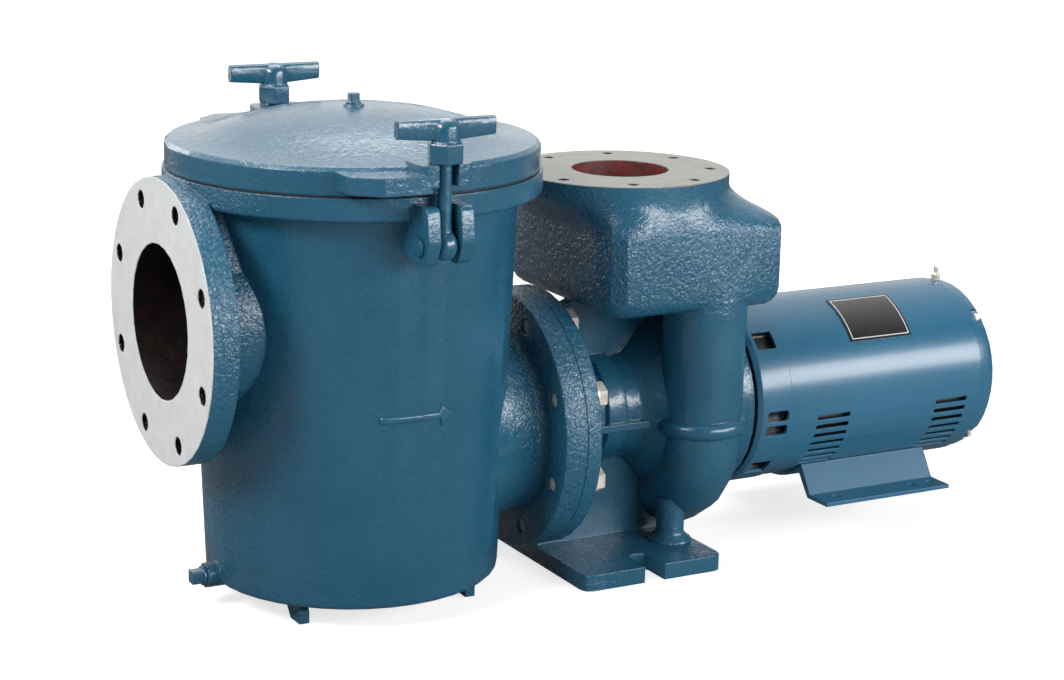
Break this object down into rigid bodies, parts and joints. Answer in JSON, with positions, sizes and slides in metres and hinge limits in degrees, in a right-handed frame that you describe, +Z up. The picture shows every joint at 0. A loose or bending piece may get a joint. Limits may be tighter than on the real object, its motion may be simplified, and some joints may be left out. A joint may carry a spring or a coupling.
{
  "type": "commercial pool pump with strainer pot and motor",
  "caption": "Close-coupled cast-iron pump with an integral strainer pot, a lid held by swing bolts with T handles, flanged suction and discharge, and a foot-mounted electric motor.",
  "frame": {"origin": "on the floor under the shaft, at the middle of the pump foot", "axes": "+X from the suction flange to the motor, +Z up out of the discharge flange, -Y the side with the volute's throat"},
  "size_m": [0.9532, 0.4332, 0.5103],
  "materials": {
    "casting_enamel": "glossy steel-blue enamel over cast texture",
    "motor_enamel": "smooth semi-gloss steel-blue enamel",
    "zinc_plate": "bright zinc plate",
    "basket_steel": "perforated stainless sheet",
    "gasket_rubber": "black rubber",
    "label_black": "black foil plate with a silver border"
  },
  "bodies": {
    "pump": {"strainer_pot": "casting_enamel", "strainer_basket": "basket_steel", "lid_gasket": "gasket_rubber", "strainer_lid": "casting_enamel", "lid_vent_plug": "casting_enamel", "pot_drain_plug": "casting_enamel", "clevis_pin_front": "casting_enamel", "clevis_pin_rear": "casting_enamel", "pump_casing": "casting_enamel", "motor_adapter": "casting_enamel", "motor_front_bell": "motor_enamel", "motor_shell": "motor_enamel", "motor_rear_bell": "motor_enamel", "motor_foot": "motor_enamel", "label_plate": "label_black", "grease_fitting": "zinc_plate", "conduit_box": "motor_enamel", "conduit_cover": "motor_enamel", "flange_bolt_1": "zinc_plate", "flange_bolt_2": "zinc_plate", "flange_bolt_3": "zinc_plate", "flange_bolt_4": "zinc_plate", "flange_bolt_5": "zinc_plate", "flange_bolt_6": "zinc_plate", "flange_bolt_7": "zinc_plate", "flange_bolt_8": "zinc_plate", "motor_through_bolt_1": "zinc_plate", "motor_through_bolt_2": "zinc_plate", "motor_through_bolt_3": "zinc_plate", "motor_through_bolt_4": "zinc_plate"},
    "swing_bolt_front": {"swing_bolt_front": "casting_enamel"},
    "swing_bolt_rear": {"swing_bolt_rear": "casting_enamel"},
    "t_handle_front": {"t_handle_front": "casting_enamel"},
    "t_handle_rear": {"t_handle_rear": "casting_enamel"}
  },
  "joints": [
    {"name": "swing_front", "type": "hinge", "parent": "pump", "child": "swing_bolt_front", "pos_m": [-0.285, -0.2, 0.3917], "axis": [1, 0, 0], "range_deg": [0, 160]},
    {"name": "swing_rear", "type": "hinge", "parent": "pump", "child": "swing_bolt_rear", "pos_m": [-0.285, 0.2, 0.3917], "axis": [-1, 0, 0], "range_deg": [0, 160]},
    {"name": "spin_front", "type": "hinge", "parent": "swing_bolt_front", "child": "t_handle_front", "pos_m": [-0.285, -0.2, 0.48], "axis": [0, 0, 1], "continuous": true},
    {"name": "spin_rear", "type": "hinge", "parent": "swing_bolt_rear", "child": "t_handle_rear", "pos_m": [-0.285, 0.2, 0.48], "axis": [0, 0, 1], "continuous": true}
  ]
}
